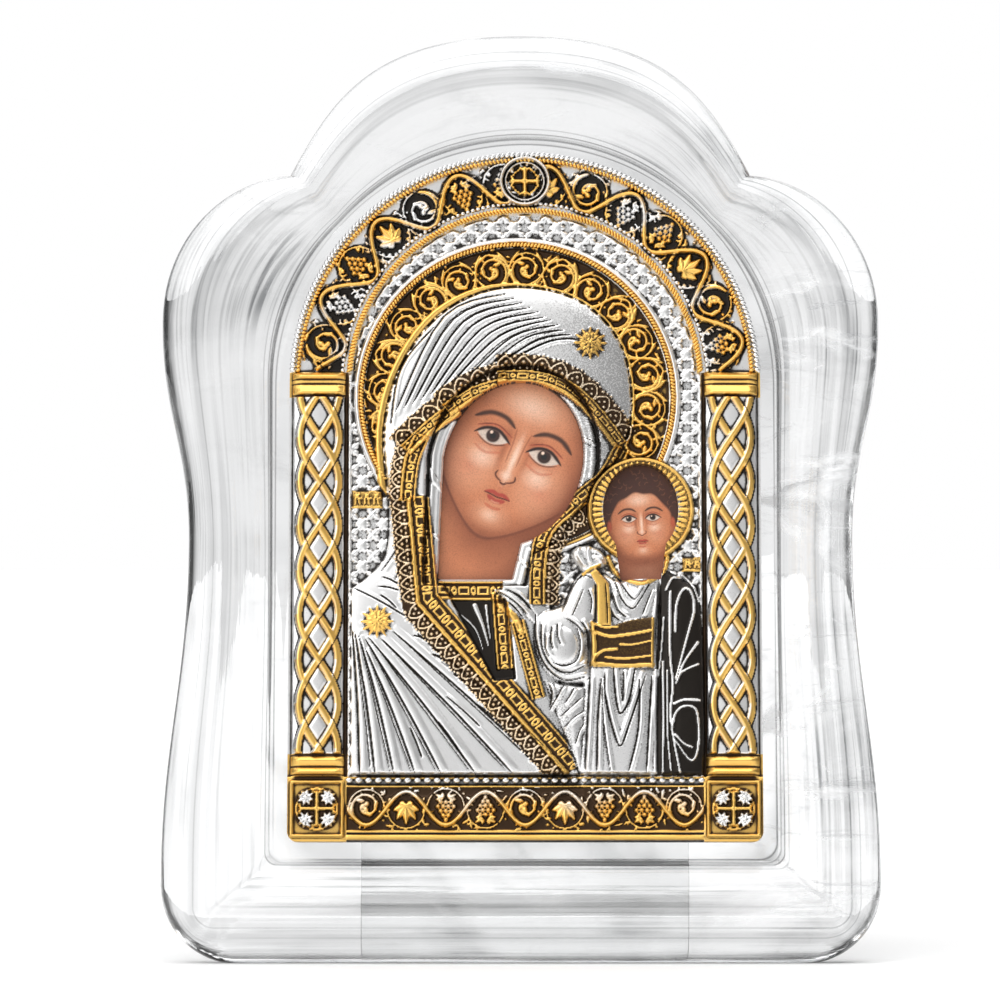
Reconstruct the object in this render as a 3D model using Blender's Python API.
"""Table icon: a stamped silver and gilt relief cover in the recess of a clear moulded glass frame,
which leans back on a bent clear foot. Metres, +Z up, the front towards -Y, the origin on the table
under the middle of the whole.

The frame, the board and the cover are modelled upright and hang from one empty that leans them
back: x to the right, z up along the frame, and y into the glass. A depth in the code runs the other
way, out of the back of the glass towards the viewer. The relief of the cover is a height over its
flat back, worked out by functions of the place on the plaque, and its triangles follow the lines of
the mouldings, the strands and the folds.
"""

import math

import bmesh
import bpy
import numpy as np
from mathutils import Vector
from mathutils.geometry import delaunay_2d_cdt

MM = 0.001
CLEARANCE = 0.3 * MM
LEAN = math.radians(10.0)

# Plaque: the board and its cover share this outline
PLAQUE_WIDTH = 85.0 * MM
PLAQUE_HEIGHT = 126.0 * MM
PLAQUE_ASIDE = 0.8 * MM
PLAQUE_CORNER = 1.8 * MM
BOARD_THICKNESS = 3.4 * MM
BOARD_INSET = 0.4 * MM

# Glass frame: its outline stands off the plaque by these rims
SILL_RIM = 21.8 * MM
DOME_RIM = 21.8 * MM
NOTCH_RIM = 14.1 * MM
NOTCH_ANGLE = math.radians(42.3)
SHOULDER_RIM = 22.3 * MM
SHOULDER_ABOVE_SPRING = 11.2 * MM
WAIST_RIM = 17.2 * MM
WAIST_BELOW_SPRING = 29.3 * MM
BASE_RIM = 21.7 * MM
BASE_HEIGHT = 20.5 * MM
BASE_CORNER = 14.0 * MM
DOME_FLAT = 27.0 * MM

# Glass frame: section
PANEL_THICKNESS = 5.0 * MM
LIP_RISE = 10.0 * MM
LIP_ROUND = 5.7 * MM
LIP_UNDERCUT = 2.7 * MM
LIP_CREST_SHARE = 0.65
RECESS_MARGIN = 2.4 * MM
RECESS_CORNER = 3.2 * MM
MITRE_CORNER = 1.1 * MM
TABLE_LAND = 0.3 * MM

# Foot
FOOT_WIDTH = 58.8 * MM
FOOT_SHEET = 2.5 * MM
FOOT_FLANGE = 44.0 * MM
FOOT_REACH = 46.0 * MM
FOOT_BEND = 2.0 * MM

# Cover: mouldings, all heights over its back
SHEET = 0.7 * MM
FIELD_GROUND = 0.8 * MM
BAND_GROUND = 1.0 * MM
STEP = 0.45 * MM
ROPE_WIDTH = 1.5 * MM
ROPE_HEIGHT = 2.1 * MM
BAND_WIDTH = 9.0 * MM
SCROLL_RISE = 0.8 * MM
MEDALLION_RADIUS = 4.7 * MM
MEDALLION_RISE = 1.4 * MM
COLUMN_WIDTH = 9.6 * MM
COLUMN_INSET = 5.4 * MM
COLUMN_HEIGHT = 2.2 * MM
COLUMN_EDGE = 1.2 * MM
LATTICE_PITCH = 7.6 * MM
LATTICE_HALF = 3.9 * MM
STRAND_WIDTH = 1.5 * MM
STRAND_RISE = 0.6 * MM
CORNER_BLOCK = 10.6 * MM
CAPITAL_LOW = 80.7 * MM
CAPITAL_TALL = 4.6 * MM
COLUMN_FOOT = 15.8 * MM
SILL_TOP = 11.6 * MM
SILL_BAND_LOW = 2.1 * MM
SILL_BAND_HIGH = 9.8 * MM
BEAD_LINE = 11.0 * MM
BEAD_WIDTH = 1.2 * MM
BEAD_RISE = 0.7 * MM

# Cover: figures
HALO_RADIUS = 29.6 * MM
HALO_RIM = 1.9 * MM
HALO_INNER = 20.3 * MM
HALO_HEIGHT = 1.9 * MM
CHILD_HALO_RADIUS = 9.7 * MM
FIGURE_EDGE = 1.5 * MM
VEIL_CROWN = 3.3 * MM
ROBE_CROWN = 2.6 * MM
CHILD_CROWN = 3.0 * MM
CROWN_REACH = 13.0 * MM
TRIM_WIDTH = 3.6 * MM
TRIM_RISE = 0.5 * MM
FOLD_WIDTH = 1.3 * MM
FOLD_RISE = 0.45 * MM
ROSETTE_RADIUS = 3.0 * MM
FACE_SLOPE = 0.62

# How finely the shapes are divided
DOME_STEPS, SHOULDER_STEPS, WAIST_STEPS, BASE_STEPS = 8, 6, 5, 4
CORNER_STEPS, SILL_STEPS, LIP_STEPS, BEND_STEPS = 5, 3, 4, 5
ARCH_STEPS, BOARD_STEPS, HALO_STEPS = 36, 24, 40
ARCH_SCROLLS, HALO_SCROLLS, SILL_SCROLLS = 14, 17, 9
FILL_PITCH = 3.4 * MM

ARCH_RADIUS = PLAQUE_WIDTH / 2
SPRING = PLAQUE_HEIGHT - ARCH_RADIUS
FRAME_SPRING = SILL_RIM + SPRING
FIELD_HALF = ARCH_RADIUS - CORNER_BLOCK
FIELD_RADIUS = ARCH_RADIUS - ROPE_WIDTH * 1.5 - BAND_WIDTH
COLUMN_MIDDLE = ARCH_RADIUS - COLUMN_INSET
BOARD_DEPTH = PANEL_THICKNESS + CLEARANCE
COVER_DEPTH = BOARD_DEPTH + BOARD_THICKNESS + CLEARANCE

# (share of its height, height over the back in mm) up a capital, and up a column's foot
CAPITAL_PROFILE = ((0.0, 1.5), (0.16, 2.5), (0.34, 2.0), (0.6, 1.7), (0.8, 2.6), (1.0, 1.6))
FOOT_PROFILE = ((0.0, 1.7), (0.2, 2.6), (0.45, 1.8), (0.7, 2.4), (1.0, 1.5))

# The figures are drawn in millimetres on a plaque of this size, and follow the real one
DRAWN_WIDTH, DRAWN_HEIGHT = 85.0, 126.0


def plan(x, z):
    """A drawn place on the plaque: x from its middle, z from its lower edge."""
    return (x / DRAWN_WIDTH * PLAQUE_WIDTH, z / DRAWN_HEIGHT * PLAQUE_HEIGHT)


def drawn(*points):
    return [plan(*point) for point in points]


HALO_CENTRE = plan(-1.4, 80.6)
HEAD_CENTRE, HEAD_TILT = plan(-2.2, 68.5), math.radians(18.0)
HEAD_ACROSS, HEAD_ALONG = plan(12.4, 15.2)
NECK_LEFT, NECK_RIGHT = plan(-15.6, 47.4), plan(-2.4, 47.4)
CHILD_CENTRE = plan(20.8, 60.0)
CHILD_ACROSS, CHILD_ALONG = plan(6.8, 8.4)
CHILD_NECK = plan(3.6, 47.2)
VEIL = drawn(
    (-31.5, 45.8), (-28.4, 48.0), (-25.2, 52.0), (-24.6, 60.0), (-25.6, 74.4), (-22.6, 86.0),
    (-15.8, 95.6), (-6.0, 100.6), (4.8, 100.4), (12.8, 96.4), (17.8, 89.4), (19.4, 80.0),
    (17.9, 71.5), (13.0, 64.0), (7.0, 56.0), (4.6, 44.0),
)
ROBE_HEM = drawn((6.0, 30.0), (10.6, 12.2), (-31.5, 12.2))
UNDER_TUNIC = drawn((-15.4, 47.0), (-2.2, 47.0), (-1.6, 29.0), (-5.6, 28.6))
BROW_TRIM = drawn(
    (-21.7, 62.0), (-19.6, 70.6), (-14.4, 78.2), (-5.0, 83.6), (5.6, 82.8), (13.6, 77.8), (17.6, 70.8)
)
CHEEK_TRIM = drawn((16.4, 69.0), (9.6, 62.4), (4.2, 56.4), (2.4, 43.0))
FRONT_TRIM = drawn((-18.2, 61.0), (-17.6, 43.4), (8.6, 13.6))
COLLAR = drawn((-15.2, 45.4), (-4.4, 45.4), (-4.2, 32.0))
TUNIC = drawn(
    (14.2, 48.6), (10.4, 44.0), (8.6, 34.0), (10.4, 27.0), (10.4, 12.2), (23.4, 12.2), (24.0, 44.0),
    (23.6, 49.8), (17.6, 47.0),
)
CLOAK = drawn((23.6, 49.8), (28.6, 47.0), (31.4, 42.0), (31.4, 12.2), (23.4, 12.2), (24.0, 44.0))
SLEEVE = drawn((11.4, 44.6), (6.0, 42.4), (2.4, 40.0), (1.4, 34.4), (4.0, 29.0), (8.6, 28.2), (12.0, 32.0))
HAND = drawn((-5.8, 45.4), (-2.4, 45.6), (1.6, 41.6), (2.6, 38.4), (-0.6, 40.6))
SASH = drawn((11.8, 38.8), (22.8, 38.8), (22.8, 31.0), (11.8, 31.0))
ROSETTES = drawn((11.8, 90.3), (-26.5, 39.5))
ROBE_LOWERED, ROBE_EASED = plan(52.0, 52.0)[1], plan(12.0, 12.0)[1]

# Folds run evenly from a first line to a last one: (how many, first, last)
FOLDS = (
    (7, ((2.6, 99.2), (-13.0, 93.0), (-21.0, 76.0)), ((9.6, 91.4), (1.6, 89.6), (-6.6, 85.8))),
    (8, ((-30.2, 38.0), (-29.6, 27.0), (-28.0, 14.0)), ((-19.6, 40.0), (-8.0, 27.0), (4.0, 13.6))),
    (5, ((12.6, 30.2), (12.4, 22.0), (12.2, 13.0)), ((22.0, 30.2), (22.2, 22.0), (22.2, 13.0))),
    (2, ((15.4, 47.0), (18.0, 44.0), (22.6, 46.6)), ((14.2, 42.0), (18.4, 39.6), (23.0, 41.6))),
    (3, ((25.4, 46.6), (25.0, 30.0), (25.2, 13.4)), ((29.8, 43.0), (30.2, 30.0), (30.0, 14.4))),
    (3, ((3.4, 39.4), (3.4, 34.0), (6.4, 30.0)), ((8.6, 42.0), (7.6, 37.6), (9.6, 32.6))),
)


# Scene helpers
def new_collection(name, hidden=False):
    collection = bpy.data.collections.new(name)
    collection.hide_render = hidden
    bpy.context.scene.collection.children.link(collection)
    return collection


def new_material(name, colour, roughness, metallic=0.0, transmission=0.0):
    material = bpy.data.materials.new(name)
    material.use_nodes = True
    shader = material.node_tree.nodes["Principled BSDF"]
    shader.inputs["Base Color"].default_value = (*colour, 1.0)
    shader.inputs["Roughness"].default_value = roughness
    shader.inputs["Metallic"].default_value = metallic
    shader.inputs["Transmission Weight"].default_value = transmission
    return material


def new_object(name, shape, collection, material=None, parent=None):
    """An object of a bmesh, which is freed."""
    bmesh.ops.recalc_face_normals(shape, faces=shape.faces)
    mesh = bpy.data.meshes.new(name)
    shape.to_mesh(mesh)
    shape.free()
    obj = bpy.data.objects.new(name, mesh)
    collection.objects.link(obj)
    obj.parent = parent
    if material:
        mesh.materials.append(material)
    return obj


# Plane curves
def blend(a, b, share):
    return tuple(p + (q - p) * share for p, q in zip(a, b))


def bezier(start, start_handle, end_handle, end, count):
    """count points along a cubic from start, without its end."""
    points = []
    for i in range(count):
        t = i / count
        inner = blend(start_handle, end_handle, t)
        before = blend(blend(start, start_handle, t), inner, t)
        after = blend(inner, blend(end_handle, end, t), t)
        points.append(blend(before, after, t))
    return points


def arc(centre, radius, first, last, count):
    """count + 1 points on a circle from one angle to another, both included."""
    angles = [first + (last - first) * i / count for i in range(count + 1)]
    return [(centre[0] + radius * math.cos(a), centre[1] + radius * math.sin(a)) for a in angles]


def circle(centre, radius, count):
    return arc(centre, radius, 0, math.tau, count)[:-1]


def smooth(points, each):
    """A Catmull-Rom curve through the points, with each steps between neighbours."""
    line = [Vector(p) for p in (points[0], *points, points[-1])]
    curve = []
    for a, b, c, d in zip(line, line[1:], line[2:], line[3:]):
        for i in range(each):
            t = i / each
            bend = (2 * a - 5 * b + 4 * c - d) * t + (3 * b - a - 3 * c + d) * t * t
            curve.append(tuple(b + 0.5 * t * ((c - a) + bend)))
    return [*curve, tuple(points[-1])]


def beside(line, offset):
    """The line moved sideways."""
    points = np.array(line)
    along = np.gradient(points, axis=0)
    along /= np.maximum(np.linalg.norm(along, axis=1, keepdims=True), 1e-12)
    return [tuple(p) for p in points + offset * along[:, ::-1] * (-1, 1)]


def plaque_outline(inset, steps):
    """The arched outline as one loop, from the lower right corner anticlockwise."""
    half = ARCH_RADIUS - inset
    corner = max(PLAQUE_CORNER - inset, PLAQUE_CORNER / 4)
    quarter = math.pi / 2
    right = arc((half - corner, inset + corner), corner, -quarter, 0, 3)
    left = arc((corner - half, inset + corner), corner, quarter * 2, quarter * 3, 3)
    return right + arc((0, SPRING), half, 0, math.pi, steps) + left


# Glass frame
def outer_half():
    """The right half of the frame's outline, from its top down to its corner."""
    top = (0, SILL_RIM + PLAQUE_HEIGHT + DOME_RIM)
    notch_radius = ARCH_RADIUS + NOTCH_RIM
    notch = (
        notch_radius * math.cos(NOTCH_ANGLE),
        FRAME_SPRING + notch_radius * math.sin(NOTCH_ANGLE),
    )
    shoulder = (ARCH_RADIUS + SHOULDER_RIM, FRAME_SPRING + SHOULDER_ABOVE_SPRING)
    waist = (ARCH_RADIUS + WAIST_RIM, FRAME_SPRING - WAIST_BELOW_SPRING)
    base = (ARCH_RADIUS + BASE_RIM, min(BASE_CORNER * 1.15, BASE_HEIGHT))
    dome_drop = top[1] - notch[1]
    shoulder_drop = notch[1] - shoulder[1]
    belly = shoulder[1] - waist[1]
    flare = waist[1] - BASE_HEIGHT
    half = bezier(
        top, (DOME_FLAT, top[1]), (notch[0] * 0.82, notch[1] + dome_drop * 0.56), notch, DOME_STEPS
    )
    half += bezier(
        notch,
        (notch[0] + (shoulder[0] - notch[0]) * 0.5, notch[1] - shoulder_drop * 0.02),
        (shoulder[0], shoulder[1] + shoulder_drop * 0.6),
        shoulder,
        SHOULDER_STEPS,
    )
    half += bezier(
        shoulder,
        (shoulder[0], shoulder[1] - belly * 0.42),
        (waist[0], waist[1] + belly * 0.42),
        waist,
        WAIST_STEPS,
    )
    half += bezier(
        waist,
        (waist[0], waist[1] - flare * 0.45),
        (base[0], BASE_HEIGHT + flare * 0.35),
        base,
        BASE_STEPS,
    )
    return [*half, base]


def recess_half(side):
    """The recess beside the plaque, with a point for each point of outer_half."""
    radius = ARCH_RADIUS + RECESS_MARGIN
    spring = (0, FRAME_SPRING)
    shoulder_angle = math.atan2(SHOULDER_ABOVE_SPRING, ARCH_RADIUS + SHOULDER_RIM)
    half = arc(spring, radius, math.pi / 2, NOTCH_ANGLE, DOME_STEPS)[:-1]
    half += arc(spring, radius, NOTCH_ANGLE, shoulder_angle, SHOULDER_STEPS)[:-1]
    half += arc(spring, radius, shoulder_angle, 0, 2)[:-1]
    low = SILL_RIM - RECESS_MARGIN + RECESS_CORNER * 1.6
    runs = WAIST_STEPS + BASE_STEPS - 2
    half += [blend((radius, FRAME_SPRING), (radius, low), i / runs) for i in range(runs + 1)]
    return [(PLAQUE_ASIDE * side + x, z) for x, z in half]


def corner_radius(share):
    """Round at the recess and at the lip, and nearly a mitre between them."""
    inner = max(0.0, 1 - share / 0.18)
    outer = max(0.0, (share - 0.55) / 0.45) ** 1.4
    spread = (RECESS_CORNER - MITRE_CORNER) * inner + (BASE_CORNER - MITRE_CORNER) * outer
    return MITRE_CORNER + spread


def sill_level(share):
    return (SILL_RIM - RECESS_MARGIN) * (1 - share)


def frame_ring(share):
    """One loop of the frame between its recess, at share 0, and its outer edge, at share 1."""
    halves = []
    radius = corner_radius(share)
    for side in (1, -1):
        line = [blend(a, b, share) for a, b in zip(recess_half(side), outer_half())]
        recess_x = ARCH_RADIUS + RECESS_MARGIN + PLAQUE_ASIDE * side
        corner_x = recess_x + (ARCH_RADIUS + BASE_RIM - recess_x) * share
        centre = (corner_x - radius, sill_level(share) + radius)
        line += arc(centre, radius, 0, -math.pi / 2, CORNER_STEPS)
        middle = (0, sill_level(share))
        line += [blend(line[-1], middle, (i + 1) / SILL_STEPS) for i in range(SILL_STEPS)]
        halves.append([(x * side, z) for x, z in line])
    right, left = halves
    return right + left[1:-1][::-1]


def frame_section():
    """(share, depth) from the recess, up the wall, over the lip and back under it."""
    crest = PANEL_THICKNESS + LIP_RISE
    edge = crest - LIP_ROUND
    back = edge - LIP_UNDERCUT
    wall = ((0.0, 0.0), (0.04, 0.06), (0.075, 0.26), (0.13, 0.36), (0.36, 0.66), (0.56, 0.96))
    section = [(share, PANEL_THICKNESS + LIP_RISE * rise) for share, rise in wall]
    section.append((LIP_CREST_SHARE, crest))
    for step in range(1, LIP_STEPS + 1):
        turn = math.pi / 2 * step / LIP_STEPS
        share = LIP_CREST_SHARE + (1 - LIP_CREST_SHARE) * math.sin(turn)
        section.append((share, edge + LIP_ROUND * math.cos(turn)))
    section.append((0.975, edge - LIP_UNDERCUT * 0.6))
    section += [(0.88, back), (0.6, back * 0.82), (0.3, back * 0.36), (0.08, 0.0)]
    return section


def lowest_edge():
    """How far the leaning frame's lowest edge is above the empty that it hangs from."""
    return min(
        sill_level(share) * math.cos(LEAN) + depth * math.sin(LEAN)
        for share, depth in frame_section()
    )


def foremost_edge():
    """Where the leaning frame's foremost edge is in Y, from the empty that it hangs from."""
    return min(
        sill_level(share) * math.sin(LEAN) - depth * math.cos(LEAN)
        for share, depth in frame_section()
    )


def build_glass_frame(collection, parent):
    shape = bmesh.new()
    rings = []
    for share, depth in frame_section():
        rings.append([shape.verts.new((x, -depth, z)) for x, z in frame_ring(share)])
    for inner, outer in zip(rings, rings[1:]):
        for i, vert in enumerate(inner):
            after = (i + 1) % len(inner)
            shape.faces.new((vert, inner[after], outer[after], outer[i]))
    shape.faces.new(rings[0])
    shape.faces.new(rings[-1])
    material = new_material("clear_glass", (0.93, 0.95, 0.96), 0.03, transmission=1.0)
    frame = new_object("glass_frame", shape, collection, material, parent)
    frame.data.shade_smooth()
    frame.data.set_sharp_from_angle(angle=math.radians(35))
    return frame


def cut_table_land(frame, cutters):
    """Takes a thin land off the lowest edge, so that the frame stands on the table."""
    wide = (ARCH_RADIUS + BASE_RIM) * 4
    tall = SILL_RIM + PLAQUE_HEIGHT
    shape = bmesh.new()
    bmesh.ops.create_cube(shape, size=1.0)
    bmesh.ops.scale(shape, vec=(wide, tall, tall), verts=shape.verts)
    bmesh.ops.translate(shape, vec=(0, 0, -tall / 2), verts=shape.verts)
    cutter = new_object("table_cutter", shape, cutters)
    cutter.hide_render = True
    cutter.display_type = "WIRE"
    cut = frame.modifiers.new("table_land", "BOOLEAN")
    cut.operation = "DIFFERENCE"
    cut.solver = "EXACT"
    cut.object = cutter


# Clear foot
def foot_profile(front_y):
    """The bent sheet from its side, as (y, z): down the flange's front, round, and back."""
    up = Vector((math.sin(LEAN), math.cos(LEAN)))
    out = Vector((-math.cos(LEAN), math.sin(LEAN)))
    outer = FOOT_BEND + FOOT_SHEET
    turn = math.pi / 2 + LEAN
    heel = Vector((front_y, 0.0))
    centre = heel + up * outer * math.tan(turn / 2) - out * outer
    first = math.pi - LEAN
    outside = arc(centre, outer, first, first + turn, BEND_STEPS)
    inside = arc(centre, FOOT_BEND, first + turn, first, BEND_STEPS)
    top = heel + up * FOOT_FLANGE
    end = front_y + FOOT_REACH
    return [top, *outside, (end, 0.0), (end, FOOT_SHEET), *inside, top - out * FOOT_SHEET]


def build_clear_foot(collection, front_y):
    shape = bmesh.new()
    profile = [shape.verts.new((-FOOT_WIDTH / 2, y, z)) for y, z in foot_profile(front_y)]
    made = bmesh.ops.extrude_face_region(shape, geom=[shape.faces.new(profile)])["geom"]
    moved = [item for item in made if isinstance(item, bmesh.types.BMVert)]
    bmesh.ops.translate(shape, vec=(FOOT_WIDTH, 0, 0), verts=moved)
    material = new_material("clear_acrylic", (0.95, 0.96, 0.97), 0.04, transmission=1.0)
    foot = new_object("clear_foot", shape, collection, material)
    foot.location.x = PLAQUE_ASIDE
    return foot


# Painted board
def build_painted_board(collection, parent):
    curve = bpy.data.curves.new("painted_board", "CURVE")
    curve.dimensions = "2D"
    curve.fill_mode = "BOTH"
    curve.extrude = BOARD_THICKNESS / 2
    outline = plaque_outline(BOARD_INSET, BOARD_STEPS)
    spline = curve.splines.new("POLY")
    spline.points.add(len(outline) - 1)
    for point, (x, z) in zip(spline.points, outline):
        point.co = (x, z, 0, 1)
    spline.use_cyclic_u = True
    curve.materials.append(new_material("painted_board", (0.42, 0.24, 0.13), 0.5))
    board = bpy.data.objects.new("painted_board", curve)
    collection.objects.link(board)
    board.parent = parent
    board.rotation_euler.x = math.pi / 2
    board.location = (PLAQUE_ASIDE, -(BOARD_DEPTH + BOARD_THICKNESS / 2), SILL_RIM)
    return board


# Distances on the plaque, for whole arrays of points at once
def to_line(x, z, line):
    """Distance to a line of straight runs."""
    best = np.full(np.shape(x), np.inf)
    for (ax, az), (bx, bz) in zip(line, line[1:]):
        run_x, run_z = bx - ax, bz - az
        share = ((x - ax) * run_x + (z - az) * run_z) / max(run_x**2 + run_z**2, 1e-18)
        share = np.clip(share, 0, 1)
        best = np.minimum(best, np.hypot(x - ax - share * run_x, z - az - share * run_z))
    return best


def inward(x, z, outline):
    """Distance from a closed outline, positive inside it."""
    loop = [*outline, outline[0]]
    within = np.zeros(np.shape(x), bool)
    for (ax, az), (bx, bz) in zip(loop, loop[1:]):
        if az != bz:
            within ^= ((az > z) != (bz > z)) & (x < (bx - ax) * (z - az) / (bz - az) + ax)
    away = to_line(x, z, loop)
    return np.where(within, away, -away)


def ramp(distance, width):
    return np.clip(distance / width, 0, 1)


def peak(distance, half_width):
    """1 on a line, falling evenly to 0 at half_width."""
    return np.clip(1 - distance / half_width, 0, 1)


def bulge(distance, reach):
    """0 at an edge, rising as a quarter circle to 1 at reach."""
    return np.sqrt(1 - (1 - ramp(distance, reach)) ** 2)


# Outlines and lines of the relief
def head_opening():
    """The tilted oval of the head with the neck under it."""
    along = Vector((math.sin(HEAD_TILT), math.cos(HEAD_TILT)))
    across = Vector((math.cos(HEAD_TILT), -math.sin(HEAD_TILT)))
    oval = []
    for i in range(22):
        angle = math.radians(-62 + 12 * i)
        place = across * HEAD_ACROSS * math.cos(angle) + along * HEAD_ALONG * math.sin(angle)
        oval.append(tuple(place + Vector(HEAD_CENTRE)))
    return [NECK_RIGHT, *oval, NECK_LEFT]


def child_opening():
    x, z = CHILD_CENTRE
    oval = []
    for i in range(16):
        angle = math.radians(-48 + 18.4 * i)
        oval.append((x + CHILD_ACROSS * math.cos(angle), z + CHILD_ALONG * math.sin(angle)))
    half, low = CHILD_NECK
    return [(x + half, low), *oval, (x - half, low)]


def mantle_outline():
    return smooth(VEIL, 2) + ROBE_HEM


def trims():
    """Every jewelled border, as (line, width)."""
    return (
        (smooth(BROW_TRIM, 3), TRIM_WIDTH),
        (smooth(CHEEK_TRIM, 2), TRIM_WIDTH * 0.8),
        (FRONT_TRIM, TRIM_WIDTH),
        (COLLAR, TRIM_WIDTH * 0.8),
    )


def folds():
    lines = []
    for count, first, last in FOLDS:
        for i in range(count):
            guide = [plan(*blend(a, b, i / (count - 1))) for a, b in zip(first, last)]
            lines.append(smooth(guide, 3))
    return lines


def roundels():
    """(centre, radius) of every leaf scroll on the arch, the halo, the sill and its blocks."""
    spots = []
    middle = ARCH_RADIUS - ROPE_WIDTH - BAND_WIDTH / 2
    for i in range(ARCH_SCROLLS):
        angle = math.pi * (i + 0.9) / (ARCH_SCROLLS + 0.8)
        centre = (middle * math.cos(angle), SPRING + middle * math.sin(angle))
        spots.append((centre, BAND_WIDTH * 0.44))
    outer = HALO_RADIUS - HALO_RIM
    middle = (outer + HALO_INNER) / 2
    for centre in arc(HALO_CENTRE, middle, math.radians(-22), math.radians(210), HALO_SCROLLS - 1):
        spots.append((centre, (outer - HALO_INNER) * 0.43))
    level = (SILL_BAND_LOW + SILL_BAND_HIGH) / 2
    radius = (SILL_BAND_HIGH - SILL_BAND_LOW) * 0.47
    for i in range(SILL_SCROLLS):
        spots.append(((FIELD_HALF * (2 * (i + 0.5) / SILL_SCROLLS - 1), level), radius))
    block = ARCH_RADIUS - CORNER_BLOCK / 2
    return [*spots, ((block, level), radius * 1.05), ((-block, level), radius * 1.05)]


def lattice():
    """The right column's two strands, as zigzags, and the outlines of the pits between them."""
    count = max(2, round((CAPITAL_LOW - COLUMN_FOOT) / LATTICE_PITCH))
    half_pitch = (CAPITAL_LOW - COLUMN_FOOT) / count / 2
    strands = []
    for side in (1, -1):
        turns = [(COLUMN_MIDDLE + side * LATTICE_HALF * (-1) ** i, i) for i in range(count * 2 + 1)]
        strands.append([(x, COLUMN_FOOT + half_pitch * i) for x, i in turns])
    tall = half_pitch - STRAND_WIDTH / 2 * math.hypot(1, half_pitch / LATTICE_HALF)
    wide = tall * LATTICE_HALF / half_pitch
    pits = []
    for i in range(count * 2):
        level = COLUMN_FOOT + half_pitch * (i + 1)
        if i % 2:
            for side in (1, -1):
                edge = COLUMN_MIDDLE + side * LATTICE_HALF
                inner = edge - side * wide
                if i < count * 2 - 1:
                    pits.append([(edge, level - tall), (inner, level), (edge, level + tall)])
        else:
            left, right = COLUMN_MIDDLE - wide, COLUMN_MIDDLE + wide
            ends = ((COLUMN_MIDDLE, level - tall), (COLUMN_MIDDLE, level + tall))
            pits.append([(left, level), ends[0], (right, level), ends[1]])
    return strands, pits


def medallion_centre():
    return (0.0, PLAQUE_HEIGHT - ROPE_WIDTH / 2 - MEDALLION_RADIUS)


# Heights of the relief
def moulding(z, low, high, profile):
    shares, heights = zip(*profile)
    return np.interp((z - low) / (high - low), shares, heights) * MM


def shaft_height(x, z):
    """A half-round column with two interlaced strands."""
    off = (np.abs(x) - COLUMN_MIDDLE) / (COLUMN_WIDTH / 2)
    shaft = COLUMN_EDGE + (COLUMN_HEIGHT - COLUMN_EDGE) * np.sqrt(np.clip(1 - off**2, 0, 1))
    strands, _ = lattice()
    away = np.minimum(*(to_line(np.abs(x), z, strand) for strand in strands))
    woven = shaft + np.where(np.abs(off) < 0.99, STRAND_RISE * peak(away, STRAND_WIDTH / 2), 0)
    return np.where(off < -0.98, SHEET, woven)


def frame_height(x, z):
    """The arch, the columns and the sill, with the plain field inside them."""
    radius = np.hypot(x, z - SPRING)
    edge = ARCH_RADIUS - np.where(z > SPRING, radius, np.abs(x))
    height = np.where(edge < ROPE_WIDTH + BAND_WIDTH, BAND_GROUND, FIELD_GROUND)
    for start in (0, ROPE_WIDTH / 2 + BAND_WIDTH):
        across = np.abs(edge - start - ROPE_WIDTH / 2) / (ROPE_WIDTH / 2)
        rope = BAND_GROUND + (ROPE_HEIGHT - BAND_GROUND) * np.sqrt(np.clip(1 - across**2, 0, 1))
        height = np.where(across < 1, rope, height)
    side = np.abs(x) > FIELD_HALF
    capital_top = CAPITAL_LOW + CAPITAL_TALL
    block = FIELD_GROUND + (COLUMN_EDGE - FIELD_GROUND) * ramp(edge, STEP)
    levels = (
        (0, SILL_TOP, block),
        (SILL_TOP, COLUMN_FOOT, moulding(z, SILL_TOP, COLUMN_FOOT, FOOT_PROFILE)),
        (COLUMN_FOOT, CAPITAL_LOW, shaft_height(x, z)),
        (CAPITAL_LOW, capital_top, moulding(z, CAPITAL_LOW, capital_top, CAPITAL_PROFILE)),
    )
    for low, high, form in levels:
        height = np.where(side & (z >= low) & (z <= high), form, height)
    sill = BAND_GROUND + BEAD_RISE * peak(np.abs(z - BEAD_LINE), BEAD_WIDTH / 2)
    return np.where(~side & (z < SILL_TOP), sill, height)


def halo_height(x, z, height):
    away = np.hypot(x - HALO_CENTRE[0], z - HALO_CENTRE[1])
    field = (np.hypot(x, np.maximum(z - SPRING, 0)) < FIELD_RADIUS) & (z > SILL_TOP)
    across = (away - HALO_RADIUS + HALO_RIM / 2) / (HALO_RIM / 2)
    rim = FIELD_GROUND + (HALO_HEIGHT - FIELD_GROUND) * np.clip(1 - across**2, 0, 1)
    height = np.where(field & (np.abs(across) < 1), rim, height)
    return np.where(field & (across < -1), BAND_GROUND, height)


def ornament_height(x, z, height):
    for (cx, cz), radius in roundels():
        share = np.hypot(x - cx, z - cz) / radius
        height = height + SCROLL_RISE * np.maximum(peak(np.abs(share - 0.76), 0.24), peak(share, 0.5))
    cx, cz = medallion_centre()
    away = np.hypot(x - cx, z - cz) / MEDALLION_RADIUS
    rim = peak(np.abs(away - 0.84), 0.16)
    arms = peak(np.minimum(np.abs(x - cx), np.abs(z - cz)), MEDALLION_RADIUS * 0.15)
    boss = BAND_GROUND + MEDALLION_RISE * np.maximum(rim, 0.7 * arms * (away < 0.6))
    return np.where(away <= 1, boss, height)


def clothed(x, z, height, outline, crown, reach, base=FIGURE_EDGE):
    """A form that steps up from what is under it and swells to its crown."""
    depth = inward(x, z, outline)
    form = base + (crown - base) * bulge(depth, reach)
    return np.where(depth > 0, height + (form - height) * ramp(depth, STEP), height)


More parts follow.
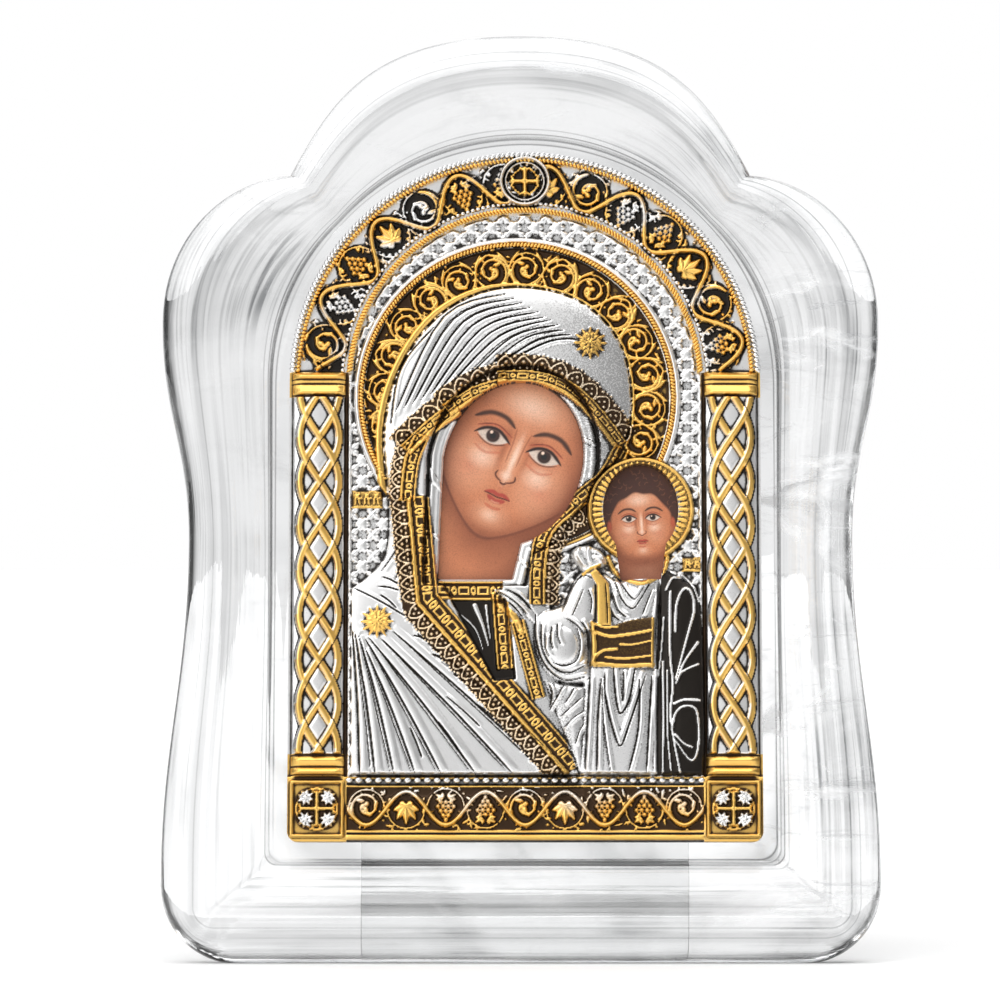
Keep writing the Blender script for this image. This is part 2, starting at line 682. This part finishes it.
def mother_height(x, z, height):
    height = clothed(x, z, height, mantle_outline(), VEIL_CROWN, CROWN_REACH)
    depth = inward(x, z, mantle_outline())
    lowered = (VEIL_CROWN - ROBE_CROWN) * ramp(ROBE_LOWERED - z, ROBE_EASED)
    height = height - lowered * bulge(depth, CROWN_REACH)
    around = np.maximum(-inward(x, z, head_opening()), 0)
    near_face = (depth > 0) & (z > NECK_LEFT[1])
    height = np.where(near_face, np.minimum(height, BAND_GROUND + FACE_SLOPE * around), height)
    under = ramp(inward(x, z, UNDER_TUNIC), STEP)
    return height + (BAND_GROUND - height) * under


def child_height(x, z, height):
    away = np.hypot(x - CHILD_CENTRE[0], z - CHILD_CENTRE[1])
    disc = FIELD_GROUND + (HALO_HEIGHT - FIELD_GROUND) * ramp(CHILD_HALO_RADIUS - away, STEP)
    height = np.where(away < CHILD_HALO_RADIUS, disc, height)
    for outline, crown, reach in (
        (TUNIC, CHILD_CROWN, CROWN_REACH / 2),
        (CLOAK, CHILD_CROWN * 0.9, CROWN_REACH / 2),
        (SLEEVE, CHILD_CROWN, CROWN_REACH / 3),
        (HAND, ROBE_CROWN, CROWN_REACH / 8),
    ):
        height = clothed(x, z, height, outline, crown, reach)
    return clothed(x, z, height, SASH, CHILD_CROWN + TRIM_RISE, CROWN_REACH / 4, CHILD_CROWN)


def relief_height(x, z):
    height = halo_height(x, z, frame_height(x, z))
    height = ornament_height(x, z, height)
    height = mother_height(x, z, height)
    height = child_height(x, z, height)
    for line, width in trims():
        height = height + TRIM_RISE * ramp(width / 2 - to_line(x, z, line), STEP)
    for line in folds():
        height = height + FOLD_RISE * peak(to_line(x, z, line), FOLD_WIDTH / 2)
    for cx, cz in ROSETTES:
        away = np.hypot(x - cx, z - cz) / ROSETTE_RADIUS
        height = height + TRIM_RISE * np.clip(1.4 * (1 - away), 0, 1)
    return height


# Triangles of the cover
class Net:
    """The points and lines that the relief's triangles keep, in millimetres."""

    def __init__(self):
        self.points = []
        self.edges = []

    def line(self, points, closed=False):
        first = len(self.points)
        self.points += [(x / MM, z / MM) for x, z in points]
        last = len(self.points) - 1
        self.edges += [(i, i + 1) for i in range(first, last)]
        if closed:
            self.edges.append((last, first))

    def strip(self, line, *offsets):
        for offset in offsets:
            self.line(beside(line, offset))

    def fill(self, outline, pitch):
        """Staggered points inside the outline wherever no line is near."""
        step = pitch / MM
        spots = []
        for row, z in enumerate(np.arange(step, PLAQUE_HEIGHT / MM, step * 0.87)):
            for x in np.arange(-ARCH_RADIUS / MM, ARCH_RADIUS / MM, step):
                spots.append((x + (row % 2) * step / 2, z))
        x, z = np.array(spots).T
        near = np.full(len(spots), np.inf)
        for a, b in self.edges:
            near = np.minimum(near, to_line(x, z, (self.points[a], self.points[b])))
        clear = (near > step * 0.44) & (inward(x * MM, z * MM, outline) > 0)
        self.points += [spot for spot, kept in zip(spots, clear) if kept]

    def triangles(self, outline, openings):
        """(points, faces) inside the outline and outside the openings."""
        places = [Vector(point) for point in self.points]
        verts, _, faces, *_ = delaunay_2d_cdt(places, self.edges, [], 0, 1e-3)
        flat = np.array(verts) * MM
        middle_x, middle_z = flat[np.array(faces)].mean(1).T
        keep = inward(middle_x, middle_z, outline) > 0
        for opening in openings:
            keep &= inward(middle_x, middle_z, opening) < 0
        return flat, [face for face, kept in zip(faces, keep) if kept]


def add_frame_lines(net):
    for inset in (0, ROPE_WIDTH / 2, ROPE_WIDTH):
        net.line(plaque_outline(inset, ARCH_STEPS), closed=inset == 0)
    inner = ROPE_WIDTH + BAND_WIDTH
    start = math.radians(3)
    for inset in (inner - ROPE_WIDTH / 2, inner, inner + ROPE_WIDTH / 2):
        arch = arc((0, SPRING), ARCH_RADIUS - inset, start, math.pi - start, ARCH_STEPS - 4)
        net.line(arch)
    strands, pits = lattice()
    half = COLUMN_WIDTH / 2 * 0.985
    capital_top = CAPITAL_LOW + CAPITAL_TALL
    for side in (1, -1):
        for line in strands:
            net.line([(x * side, z) for x, z in line])
        for pit in pits:
            net.line([(x * side, z) for x, z in pit], closed=True)
        for x in ((COLUMN_MIDDLE - half) * side, (COLUMN_MIDDLE + half) * side):
            net.line([(x, COLUMN_FOOT), (x, CAPITAL_LOW)])
        for low, high, profile in (
            (CAPITAL_LOW, capital_top, CAPITAL_PROFILE),
            (SILL_TOP, COLUMN_FOOT, FOOT_PROFILE),
        ):
            for share, _ in profile:
                z = low + (high - low) * share
                net.line([(FIELD_HALF * side, z), (ARCH_RADIUS * side, z)])
        net.line([(FIELD_HALF * side, 0), (FIELD_HALF * side, capital_top)])
    for z in (SILL_TOP, BEAD_LINE + BEAD_WIDTH / 2, BEAD_LINE, BEAD_LINE - BEAD_WIDTH / 2):
        net.line([(-FIELD_HALF, z), (FIELD_HALF, z)])


def add_ornament_lines(net):
    for centre, radius in roundels():
        for share, count in ((1.0, 7), (0.76, 7), (0.5, 4)):
            net.line(circle(centre, radius * share, count), closed=True)
        net.line([centre])
    cx, cz = medallion_centre()
    for share in (1.0, 0.84, 0.68):
        net.line(circle((cx, cz), MEDALLION_RADIUS * share, 16), closed=True)
    arm = MEDALLION_RADIUS * 0.58
    net.line([(cx - arm, cz), (cx + arm, cz)])
    net.line([(cx, cz - arm), (cx, cz + arm)])


def add_figure_lines(net):
    for inset in (0, HALO_RIM / 2, HALO_RIM):
        first, last = math.radians(-34), math.radians(214)
        net.line(arc(HALO_CENTRE, HALO_RADIUS - inset, first, last, HALO_STEPS))
    for outline in (mantle_outline(), TUNIC, CLOAK, SLEEVE, SASH, HAND, UNDER_TUNIC):
        net.line(outline, closed=True)
        net.strip([*outline, outline[0]], STEP, -STEP)
    for radius in (CHILD_HALO_RADIUS, CHILD_HALO_RADIUS - STEP):
        net.line(circle(CHILD_CENTRE, radius, HALO_STEPS // 2), closed=True)
    for line, width in trims():
        net.strip(line, -width / 2, width / 2, STEP - width / 2, width / 2 - STEP)
    for line in folds():
        net.strip(line, -FOLD_WIDTH / 2, 0, FOLD_WIDTH / 2)
    for centre in ROSETTES:
        net.line(circle(centre, ROSETTE_RADIUS, 8), closed=True)
        net.line(circle(centre, ROSETTE_RADIUS * 0.3, 5), closed=True)


def build_silver_cover(collection, parent):
    openings = (head_opening(), child_opening())
    net = Net()
    add_frame_lines(net)
    add_ornament_lines(net)
    add_figure_lines(net)
    for opening in openings:
        net.line(opening, closed=True)
    net.fill(mantle_outline(), FILL_PITCH)
    flat, faces = net.triangles(plaque_outline(0, ARCH_STEPS), openings)
    heights = relief_height(*flat.T)
    shape = bmesh.new()
    front = {i: shape.verts.new((flat[i][0], -heights[i], flat[i][1])) for i in np.unique(faces)}
    for face in faces:
        shape.faces.new([front[i] for i in face])
    rims = [edge for edge in shape.edges if len(edge.link_faces) == 1]
    made = bmesh.ops.extrude_edge_only(shape, edges=rims)["geom"]
    for vert in (item for item in made if isinstance(item, bmesh.types.BMVert)):
        vert.co.y = 0
    back = [item for item in made if isinstance(item, bmesh.types.BMEdge)]
    bmesh.ops.triangle_fill(shape, edges=back, use_beauty=True)
    material = new_material("stamped_silver", (0.78, 0.74, 0.66), 0.25, metallic=1.0)
    cover = new_object("silver_cover", shape, collection, material, parent)
    cover.location = (PLAQUE_ASIDE, -COVER_DEPTH, SILL_RIM)
    cover.data.shade_smooth()
    cover.data.set_sharp_from_angle(angle=math.radians(40))
    return cover


def main():
    for obj in list(bpy.data.objects):
        bpy.data.objects.remove(obj, do_unlink=True)
    parts = new_collection("icon_panel")
    cutters = new_collection("cutters", hidden=True)
    lean = bpy.data.objects.new("lean_axis", None)
    parts.objects.link(lean)
    lean.rotation_euler.x = -LEAN
    lean.location.z = -lowest_edge() - TABLE_LAND
    foot_front = -lean.location.z * math.tan(LEAN) + CLEARANCE / math.cos(LEAN)
    centring = -(foremost_edge() + foot_front + FOOT_REACH) / 2
    lean.location.y = centring
    frame = build_glass_frame(parts, lean)
    cut_table_land(frame, cutters)
    build_painted_board(parts, lean)
    build_silver_cover(parts, lean)
    foot = build_clear_foot(parts, foot_front)
    foot.location.y = centring


main()
